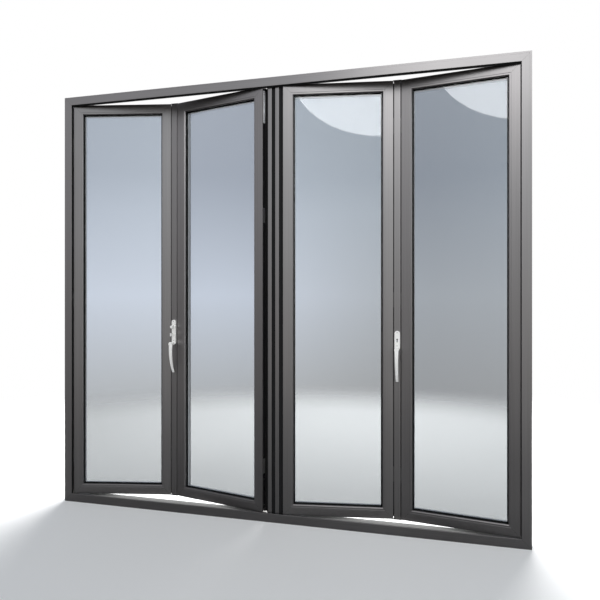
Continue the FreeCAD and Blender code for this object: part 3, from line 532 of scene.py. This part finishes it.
def add_screw(mesh, place, head, rise):
    """Countersunk cross-head screw: a low crowned head with a sunk cross.

    The head lies in the XY plane of the place and its outside is towards +Z.
    """
    rim = []
    crown = []
    crown_share = 0.82
    for step in range(SCREW_SIDES):
        turn = 2.0 * math.pi * step / SCREW_SIDES
        flat = Vector((math.cos(turn), math.sin(turn), 0.0)) * head / 2.0
        rim.append(mesh.verts.new(place @ flat))
        crown.append(mesh.verts.new(place @ (flat * crown_share + Vector((0.0, 0.0, rise)))))
    for step in range(SCREW_SIDES):
        after = (step + 1) % SCREW_SIDES
        mesh.faces.new((rim[step], rim[after], crown[after], crown[step]))
    # The cross: how far its arms reach, half their width, and how much narrower its floor is
    arm = head * 0.30
    half = head * 0.065
    floor_share = 0.8
    outline = [(arm, -half), (arm, half), (half, half), (half, arm), (-half, arm), (-half, half),
               (-arm, half), (-arm, -half), (-half, -half), (-half, -arm), (half, -arm),
               (half, -half)]
    brim = [mesh.verts.new(place @ Vector((x, y, rise))) for x, y in outline]
    sunk = [mesh.verts.new(place @ Vector((x * floor_share, y * floor_share, -rise)))
            for x, y in outline]
    ring = []
    for loop in (crown, brim):
        for index, vertex in enumerate(loop):
            following = loop[(index + 1) % len(loop)]
            ring.append(mesh.edges.get((vertex, following)) or mesh.edges.new((vertex, following)))
    bmesh.ops.triangle_fill(mesh, use_beauty=True, use_dissolve=False, edges=ring)
    for index in range(len(outline)):
        after = (index + 1) % len(outline)
        mesh.faces.new((brim[index], brim[after], sunk[after], sunk[index]))
    mesh.faces.new(sunk)


def add_ribbon(mesh, place, start, end, width, rise):
    """Thin raised ribbon in the XZ plane of the place, standing out towards -Y."""
    run = (end - start).normalized()
    side = Vector((-run.z, 0.0, run.x)) * width / 2.0
    out = Vector((0.0, -rise, 0.0))
    ridge_share = 0.6
    ends = [(point, offset) for point in (start, end) for offset in (side, -side)]
    foot = [place @ (point + offset) for point, offset in ends]
    top = [place @ (point + offset * ridge_share + out) for point, offset in ends]
    a, b, c, d = [mesh.verts.new(point) for point in foot]
    e, f, g, h = [mesh.verts.new(point) for point in top]
    for corners in ((e, f, h, g), (a, b, f, e), (c, g, h, d), (a, e, g, c), (b, d, h, f)):
        mesh.faces.new(corners)


def add_prism(mesh, place, outline, low, high):
    """Upright bar with an outline in the XY plane of the place, from one height to another."""
    foot = [mesh.verts.new(place @ Vector((x, y, low))) for x, y in outline]
    top = [mesh.verts.new(place @ Vector((x, y, high))) for x, y in outline]
    for index in range(len(outline)):
        after = (index + 1) % len(outline)
        mesh.faces.new((foot[index], foot[after], top[after], top[index]))
    mesh.faces.new(foot)
    mesh.faces.new(top)


class PATIODOOR_OT_stage(Operator):
    """Make the camera, the pale floor and the soft studio light"""

    bl_idname = "patio_door.stage"
    bl_label = "Studio"

    def execute(self, context):
        settings = context.scene.studio_settings
        camera_data = bpy.data.cameras.new("studio_camera")
        camera_data.lens = settings.focal_length
        camera_data.sensor_width = SENSOR_WIDTH
        camera_data.shift_y = CAMERA_SHIFT_UP
        camera = bpy.data.objects.new("studio_camera", camera_data)
        camera.location = CAMERA_PLACE
        camera.rotation_euler = CAMERA_TURN
        context.scene.collection.objects.link(camera)
        context.scene.camera = camera
        self.make_floor(context, settings)
        key = self.make_light(context, "key", *KEY_LIGHT)
        key.data.energy = settings.key_power
        # The back light only brightens the floor. It is kept out of glass and metal, so that
        # neither a rim nor a glare shows in them
        back = self.make_light(context, "back", *BACK_LIGHT)
        back.data.energy = settings.back_power
        back.visible_transmission = False
        back.visible_glossy = False
        self.make_world(context)
        context.scene.view_settings.view_transform = "Standard"
        return {"FINISHED"}

    def make_floor(self, context, settings):
        """Wide disc of painted studio floor under the sill."""
        mesh = bmesh.new()
        rim = []
        for step in range(FLOOR_SIDES):
            turn = 2.0 * math.pi * step / FLOOR_SIDES
            rim.append(mesh.verts.new((
                FLOOR_REACH * math.cos(turn), FLOOR_REACH * math.sin(turn), 0.0)))
        mesh.faces.new(rim)
        data = bpy.data.meshes.new("studio_floor")
        mesh.to_mesh(data)
        mesh.free()
        floor = bpy.data.objects.new("studio_floor", data)
        context.scene.collection.objects.link(floor)
        # Painted board: even, matt and pale, feathered away at its edge so that no line shows
        material, tree = new_material("painted studio floor")
        coordinates = add_node(tree, "ShaderNodeTexCoord")
        cloud = add_node(tree, "ShaderNodeTexNoise", inputs={
            "Vector": coordinates.outputs["Object"], "Scale": 0.8, "Detail": 3.0})
        rough = add_node(tree, "ShaderNodeMapRange", inputs={
            "Value": cloud.outputs[0], "To Min": 0.6, "To Max": 0.8})
        # Painted shade: the board's colour is darkened where it is only mirrored, so that low bars
        # stay dark, and where it is seen through a pane, so that it is calmer there than in the
        # open light
        path = add_node(tree, "ShaderNodeLightPath")
        painted_mirror_shade = shaded(settings.floor_colour, PAINTED_SHADE_MIRRORED_FLOOR)
        painted_pane_shade = shaded(settings.floor_colour, PAINTED_SHADE_BEHIND_PANE)
        mirrored = add_node(tree, "ShaderNodeMix", {"data_type": "RGBA"}, {
            0: path.outputs["Is Glossy Ray"], 6: settings.floor_colour, 7: painted_mirror_shade})
        behind_pane = add_node(tree, "ShaderNodeMix", {"data_type": "RGBA"}, {
            0: path.outputs["Is Transmission Ray"], 6: mirrored.outputs[2], 7: painted_pane_shade})
        paint = add_node(tree, "ShaderNodeBsdfPrincipled", inputs={
            "Base Color": behind_pane.outputs[2], "Roughness": rough.outputs[0]})
        clear = add_node(tree, "ShaderNodeBsdfTransparent")
        distance = add_node(tree, "ShaderNodeVectorMath", {"operation": "LENGTH"}, {
            0: coordinates.outputs["Object"]})
        feather = add_node(tree, "ShaderNodeMapRange", {"interpolation_type": "SMOOTHSTEP"}, {
            "Value": distance.outputs["Value"], "From Min": FLOOR_FADE_START,
            "From Max": FLOOR_REACH})
        shader = add_node(tree, "ShaderNodeMixShader", inputs={
            0: feather.outputs[0], 1: paint.outputs[0], 2: clear.outputs[0]})
        surface_from(tree, shader)
        data.materials.append(material)

    def make_light(self, context, name, place, target, size):
        """One oval soft light aimed at a point."""
        data = bpy.data.lights.new("studio_" + name, "AREA")
        data.shape = "ELLIPSE"
        data.size, data.size_y = size
        light = bpy.data.objects.new("studio_" + name, data)
        light.location = place
        aim = Vector(target) - Vector(place)
        light.rotation_euler = aim.to_track_quat("-Z", "Y").to_euler()
        light.visible_camera = False
        context.scene.collection.objects.link(light)
        return light

    def make_world(self, context):
        """Pale surround: bright in front on the right, cool behind, dim below.

        Seen directly it is plain white, so that the door stands on a white ground.
        """
        world = bpy.data.worlds.new("studio_surround")
        world.use_nodes = True
        tree = world.node_tree
        tree.nodes.clear()
        coordinates = add_node(tree, "ShaderNodeTexCoord")
        direction = add_node(tree, "ShaderNodeSeparateXYZ", inputs={
            0: coordinates.outputs["Generated"]})
        height = add_node(tree, "ShaderNodeMapRange", inputs={
            "Value": direction.outputs["Z"], "From Min": -1.0, "From Max": 1.0})
        front_left = self.tone_ramp(tree, height, (
            (0.36, "#211f1e"), (0.5, "#8d8b8a"), (0.58, "#a8a9ac"), (0.68, "#d4d7dd"),
            (0.85, "#7c7d80")))
        front_right = self.tone_ramp(tree, height, (
            (0.34, "#78746f"), (0.42, "#94918c"), (0.5, "#c4c2bf"), (0.57, "#f4fafd"),
            (0.68, "#f2fbff"), (0.85, "#b9babd")))
        back_left = self.tone_ramp(tree, height, (
            (0.40, "#a4a4a4"), (0.5, "#bac0cc"), (0.60, "#8d939f"), (0.9, "#65686d")))
        back_right = self.tone_ramp(tree, height, (
            (0.40, "#909091"), (0.5, "#92969c"), (0.60, "#6f757f"), (0.9, "#6a6d72")))
        front_side = add_node(tree, "ShaderNodeMapRange", {"interpolation_type": "SMOOTHSTEP"}, {
            "Value": direction.outputs["X"], "From Min": -0.45, "From Max": 0.05})
        front = add_node(tree, "ShaderNodeMix", {"data_type": "RGBA"}, {
            0: front_side.outputs[0], 6: front_left.outputs[0], 7: front_right.outputs[0]})
        back_side = add_node(tree, "ShaderNodeMapRange", {"interpolation_type": "SMOOTHSTEP"}, {
            "Value": direction.outputs["X"], "From Min": -0.42, "From Max": -0.02})
        back = add_node(tree, "ShaderNodeMix", {"data_type": "RGBA"}, {
            0: back_side.outputs[0], 6: back_left.outputs[0], 7: back_right.outputs[0]})
        behind = add_node(tree, "ShaderNodeMapRange", {"interpolation_type": "SMOOTHSTEP"}, {
            "Value": direction.outputs["Y"], "From Min": -0.2, "From Max": 0.2})
        tone = add_node(tree, "ShaderNodeMix", {"data_type": "RGBA"}, {
            0: behind.outputs[0], 6: front.outputs[2], 7: back.outputs[2]})
        lighting = add_node(tree, "ShaderNodeBackground", inputs={
            "Color": tone.outputs[2], "Strength": 1.5})
        seen = add_node(tree, "ShaderNodeBackground", inputs={
            "Color": hex_colour("#ffffff"), "Strength": 1.0})
        path = add_node(tree, "ShaderNodeLightPath")
        both = add_node(tree, "ShaderNodeMixShader", inputs={
            0: path.outputs["Is Camera Ray"], 1: lighting.outputs[0], 2: seen.outputs[0]})
        add_node(tree, "ShaderNodeOutputWorld", inputs={"Surface": both.outputs[0]})
        context.scene.world = world

    def tone_ramp(self, tree, height, stops):
        """Colours of the surround from below to overhead, as (share of the height, hex colour)."""
        made = add_node(tree, "ShaderNodeValToRGB", inputs={0: height.outputs[0]})
        ramp = made.color_ramp
        ramp.elements.remove(ramp.elements[1])
        for index, (position, colour) in enumerate(stops):
            stop = ramp.elements[0] if index == 0 else ramp.elements.new(position)
            stop.position = position
            stop.color = hex_colour(colour)
        return made


class PATIODOOR_OT_bars(Operator):
    """Finish the frame, the leaves, the beads, the posts and the tracks"""

    bl_idname = "patio_door.bars"
    bl_label = "Aluminium bars"

    def execute(self, context):
        upright = ["frame_left_jamb", "frame_right_jamb", "left_fold_post", "right_fold_post",
                   "centre_post"]
        level = ["frame_head", "frame_sill"]
        for number in range(1, 5):
            leaf = "leaf_%d_" % number
            upright += [leaf + "left_stile", leaf + "right_stile", leaf + "beads"]
            level += [leaf + "top_rail", leaf + "bottom_rail"]
        dress(upright, anodised_aluminium(True))
        dress(level, anodised_aluminium(False))
        dress(["head_track", "sill_track"], plain_anodised())
        return {"FINISHED"}


class PATIODOOR_OT_glazing(Operator):
    """Finish the sealed glass units, their spacers and all gaskets"""

    bl_idname = "patio_door.glazing"
    bl_label = "Glass and seals"

    def execute(self, context):
        dress(["leaf_%d_glass" % number for number in range(1, 5)], float_glass())
        dress(["glass_spacers"], spacer_aluminium())
        dress([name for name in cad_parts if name.endswith("_seals")], black_rubber())
        return {"FINISHED"}


class PATIODOOR_OT_fittings(Operator):
    """Finish the hinges, running gear, bolts, lock plates and handles"""

    bl_idname = "patio_door.fittings"
    bl_label = "Fittings"

    def execute(self, context):
        hinges = [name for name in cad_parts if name.endswith("_hinges")]
        dress(hinges + ["hangers", "floor_guides"], coated_steel())
        dress(["hanger_wheels", "fold_post_caps"], moulded_nylon())
        dress(["flush_bolts"], zinc_plate())
        dress(["lock_plates", "lock_keeps"], brushed_stainless())
        handles = [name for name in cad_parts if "handle" in name]
        dress(handles + ["left_key_cylinder", "left_thumb_turn"], satin_nickel())
        return {"FINISHED"}


class PATIODOOR_OT_handle_screws(Operator):
    """Fix each handle plate with its countersunk screws"""

    bl_idname = "patio_door.handle_screws"
    bl_label = "Handle screws"

    def execute(self, context):
        sizes = context.scene.detail_sizes
        above_lever = 7.0 * MM
        below_top = 9.0 * MM
        mesh = bmesh.new()
        for side in ("left", "right"):
            low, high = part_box(side + "_handle_plate")
            lever_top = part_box(side + "_handle_lever")[1].z
            middle = (low.x + high.x) / 2.0
            for height in (lever_top + above_lever, high.z - below_top):
                place = Matrix.Translation((middle, low.y, height)) @ TOWARDS_VIEWER
                add_screw(mesh, place, sizes.screw_head, sizes.screw_rise)
        finished_piece("handle_screws", mesh, brushed_stainless())
        return {"FINISHED"}


class PATIODOOR_OT_edge_screws(Operator):
    """Fix the bolts and lock plates on the free edges of the two middle leaves"""

    bl_idname = "patio_door.edge_screws"
    bl_label = "Edge screws"

    def execute(self, context):
        sizes = context.scene.detail_sizes
        small_head = sizes.screw_head * 0.8
        lock_inset = 9.0 * MM
        bolt_insets = (20.0 * MM, 160.0 * MM)
        mesh = bmesh.new()
        bolt_low, bolt_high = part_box("flush_bolts")
        for number, far in ((2, True), (3, False)):
            placing = leaf_placing(number)
            plates = points_in_leaf(placing, "lock_plates", far)
            edge = max(p.x for p in plates) if far else min(p.x for p in plates)
            depth = (max(p.y for p in plates) + min(p.y for p in plates)) / 2.0
            outward = Matrix.Rotation(math.radians(90.0 if far else -90.0), 4, "Y")
            lock_ends = sorted({round(p.z, 4) for p in plates})
            heights = [z + step for z, step in zip(lock_ends, (lock_inset, -lock_inset) * 2)]
            heights += [bolt_low.z - placing.translation.z + inset for inset in bolt_insets]
            heights += [bolt_high.z - placing.translation.z - inset for inset in bolt_insets]
            for height in heights:
                place = placing @ Matrix.Translation((edge, depth, height)) @ outward
                add_screw(mesh, place, small_head, sizes.screw_rise)
        finished_piece("edge_screws", mesh, brushed_stainless())
        return {"FINISHED"}


class PATIODOOR_OT_edge_covers(Operator):
    """Cover the open lock grooves of the two middle leaves with a clipped black profile"""

    bl_idname = "patio_door.edge_covers"
    bl_label = "Edge covers"

    def execute(self, context):
        # The profile's face lies just inside the edge, dips along its middle and has a deep foot
        side_gap, end_gap = 0.2 * MM, 0.5 * MM
        face_inset, dip_inset, foot_inset = 0.4 * MM, 1.6 * MM, 5.7 * MM
        lip, slope = 7.0 * MM, 8.0 * MM
        mesh = bmesh.new()
        for number, far in ((2, True), (3, False)):
            placing = leaf_placing(number)
            plates = points_in_leaf(placing, "lock_plates", far)
            bolts = points_in_leaf(placing, "flush_bolts", far)
            ends = sorted({round(p.z, 4) for p in plates})
            half = (ends[0] + ends[-1]) / 2.0
            lower_bolt = max(p.z for p in bolts if p.z < half)
            upper_bolt = min(p.z for p in bolts if p.z > half)
            edge = max(p.x for p in plates) if far else min(p.x for p in plates)
            inward = -1.0 if far else 1.0
            near = min(p.y for p in plates) + side_gap
            deep = max(p.y for p in plates) - side_gap
            face = edge + inward * face_inset
            dip = edge + inward * dip_inset
            back = edge + inward * foot_inset
            outline = [(back, near), (face, near), (face, near + lip), (dip, near + slope),
                       (dip, deep - slope), (face, deep - lip), (face, deep), (back, deep)]
            for low, high in ((lower_bolt, ends[0]), (ends[1], ends[2]), (ends[3], upper_bolt)):
                add_prism(mesh, placing, outline, low + end_gap, high - end_gap)
        finished_piece("edge_covers", mesh, black_rubber())
        return {"FINISHED"}


class PATIODOOR_OT_meeting_fin(Operator):
    """Close the gap between the centre post's lip and the third leaf with a rubber fin"""

    bl_idname = "patio_door.meeting_fin"
    bl_label = "Meeting fin"

    def execute(self, context):
        placing = leaf_placing(3)
        lip = points_in_leaf(placing, "centre_post_seals")
        tip = max(p.x for p in lip)
        rim = [p for p in lip if p.x > tip - 0.3 * MM]
        middle = (min(p.y for p in rim) + max(p.y for p in rim)) / 2.0
        # From the lip's tip, where it is thin, to the leaf's edge, where its foot is a bit thicker
        start, half_tip = tip + 0.1 * MM, 0.9 * MM
        end, foot_near, foot_deep = -0.15 * MM, 5.0 * MM, 7.0 * MM
        outline = [(start, middle - half_tip), (end, foot_near), (end, foot_deep),
                   (start, middle + half_tip)]
        mesh = bmesh.new()
        add_prism(mesh, placing, outline, min(p.z for p in rim), max(p.z for p in rim))
        finished_piece("meeting_fin", mesh, black_rubber())
        return {"FINISHED"}


class PATIODOOR_OT_sill_strips(Operator):
    """Lay the pale strips with their low upstand along the back of the sill"""

    bl_idname = "patio_door.sill_strips"
    bl_label = "Sill strips"

    def execute(self, context):
        track_low, track_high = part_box("sill_track")
        post_low, post_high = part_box("centre_post")
        # The upstand stays clear of the leaves, which swing over it
        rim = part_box("leaf_1_bottom_rail")[0].z - 8.0 * MM
        near = track_high.y + 8.0 * MM
        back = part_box("frame_sill")[1].y - 0.3 * MM
        ground = post_low.z + 0.05 * MM
        wall = back - 1.8 * MM
        outline = [(near, ground), (back, ground), (back, rim), (back - 1.0 * MM, rim + 0.5 * MM),
                   (wall, rim), (wall, ground + 1.5 * MM), (near, ground + 1.0 * MM)]
        # The strips' section stands in the YZ plane and runs along X
        place = Matrix(((0.0, 0.0, 1.0, 0.0), (1.0, 0.0, 0.0, 0.0),
                        (0.0, 1.0, 0.0, 0.0), (0.0, 0.0, 0.0, 1.0)))
        end_gap, post_gap = 1.0 * MM, 6.0 * MM
        mesh = bmesh.new()
        add_prism(mesh, place, outline, track_low.x + end_gap, post_low.x - post_gap)
        add_prism(mesh, place, outline, post_high.x + post_gap, track_high.x - end_gap)
        finished_piece("sill_strips", mesh, matt_anodised())
        return {"FINISHED"}


class PATIODOOR_OT_keyhole(Operator):
    """Put the keyhole on the right handle plate: a flat dark liner whose dark is painted shade of
    the opening
    """

    bl_idname = "patio_door.keyhole"
    bl_label = "Keyhole"

    def execute(self, context):
        low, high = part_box("right_handle_plate")
        middle = (low.x + high.x) / 2.0
        height = high.z - 45.0 * MM
        # A round head over a straight slot, as a thin liner on the plate's face; its near black is
        # painted shade of the hole
        radius, slot_half, slot_end = 4.2 * MM, 2.2 * MM, -15.0 * MM
        half_thickness = 0.08 * MM
        outline = []
        steps = 14
        for step in range(steps + 1):
            turn = math.radians(-60.0 + 300.0 * step / steps)
            outline.append((radius * math.cos(turn), radius * math.sin(turn)))
        outline += [(-slot_half, slot_end), (slot_half, slot_end)]
        place = Matrix.Translation((middle, low.y - 0.1 * MM, height)) @ TOWARDS_VIEWER
        mesh = bmesh.new()
        add_prism(mesh, place, outline, -half_thickness, half_thickness)
        finished_piece("keyhole", mesh, moulded_nylon())
        return {"FINISHED"}


class PATIODOOR_OT_mitre_seams(Operator):
    """Draw the hairline seams where the mitred bars meet"""

    bl_idname = "patio_door.mitre_seams"
    bl_label = "Mitre seams"

    def execute(self, context):
        width = context.scene.detail_sizes.seam_width
        rise = 0.08 * MM
        # Seams start behind the frame's edge step and end short of the roundings
        edge_step, rounding, leaf_seam_end = 10.5 * MM, 1.5 * MM, 42.5 * MM
        mesh = bmesh.new()
        low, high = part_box("frame_left_jamb")
        face = high.x - low.x
        whole = (cad_low.x, cad_high.x, cad_low.z, cad_high.z)
        place = Matrix.Translation((0.0, cad_low.y, 0.0))
        self.corners(mesh, place, whole, edge_step, face - rounding, width, rise)
        for number in range(1, 5):
            placing = leaf_placing(number)
            stile = points_in_leaf(placing, "leaf_%d_right_stile" % number)
            far = max(p.x for p in stile)
            top = max(p.z for p in stile)
            self.corners(mesh, placing, (0.0, far, 0.0, top), rounding, leaf_seam_end, width, rise)
        finished_piece("mitre_seams", mesh, black_rubber())
        return {"FINISHED"}

    def corners(self, mesh, place, box, start, end, width, rise):
        """Seams at the four corners of a rectangle (left, right, bottom, top)."""
        left, right, bottom, top = box
        for x, along in ((left, 1.0), (right, -1.0)):
            for z, up in ((bottom, 1.0), (top, -1.0)):
                first = Vector((x + along * start, 0.0, z + up * start))
                last = Vector((x + along * end, 0.0, z + up * end))
                add_ribbon(mesh, place, first, last, width, rise)


class PATIODOOR_PT_sidebar(Panel):
    """Buttons and settings of the door's dressing"""

    bl_idname = "PATIODOOR_PT_sidebar"
    bl_label = "Patio Door"
    bl_space_type = "VIEW_3D"
    bl_region_type = "UI"
    bl_category = "Patio Door"

    def draw(self, context):
        layout = self.layout
        for operator in OPERATORS:
            layout.operator(operator.bl_idname)
        for group in ("door_finishes", "detail_sizes", "studio_settings"):
            settings = getattr(context.scene, group)
            column = layout.column()
            for name in settings.__annotations__:
                column.prop(settings, name)


OPERATORS = (
    PATIODOOR_OT_stage,
    PATIODOOR_OT_bars,
    PATIODOOR_OT_glazing,
    PATIODOOR_OT_fittings,
    PATIODOOR_OT_handle_screws,
    PATIODOOR_OT_edge_screws,
    PATIODOOR_OT_edge_covers,
    PATIODOOR_OT_meeting_fin,
    PATIODOOR_OT_sill_strips,
    PATIODOOR_OT_keyhole,
    PATIODOOR_OT_mitre_seams,
)
GROUPS = (DoorFinishes, DoorDetailSizes, StudioSettings)


def register():
    for made in GROUPS + OPERATORS + (PATIODOOR_PT_sidebar,):
        bpy.utils.register_class(made)
    bpy.types.Scene.door_finishes = PointerProperty(type=DoorFinishes)
    bpy.types.Scene.detail_sizes = PointerProperty(type=DoorDetailSizes)
    bpy.types.Scene.studio_settings = PointerProperty(type=StudioSettings)


def unregister():
    del bpy.types.Scene.studio_settings
    del bpy.types.Scene.detail_sizes
    del bpy.types.Scene.door_finishes
    for made in reversed(GROUPS + OPERATORS + (PATIODOOR_PT_sidebar,)):
        bpy.utils.unregister_class(made)


def main():
    """Registers the add-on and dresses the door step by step."""
    register()
    bpy.ops.patio_door.stage()
    bpy.ops.patio_door.bars()
    bpy.ops.patio_door.glazing()
    bpy.ops.patio_door.fittings()
    bpy.ops.patio_door.handle_screws()
    bpy.ops.patio_door.edge_screws()
    bpy.ops.patio_door.edge_covers()
    bpy.ops.patio_door.meeting_fin()
    bpy.ops.patio_door.sill_strips()
    bpy.ops.patio_door.keyhole()
    bpy.ops.patio_door.mitre_seams()


if __name__ == "__main__":
    main()
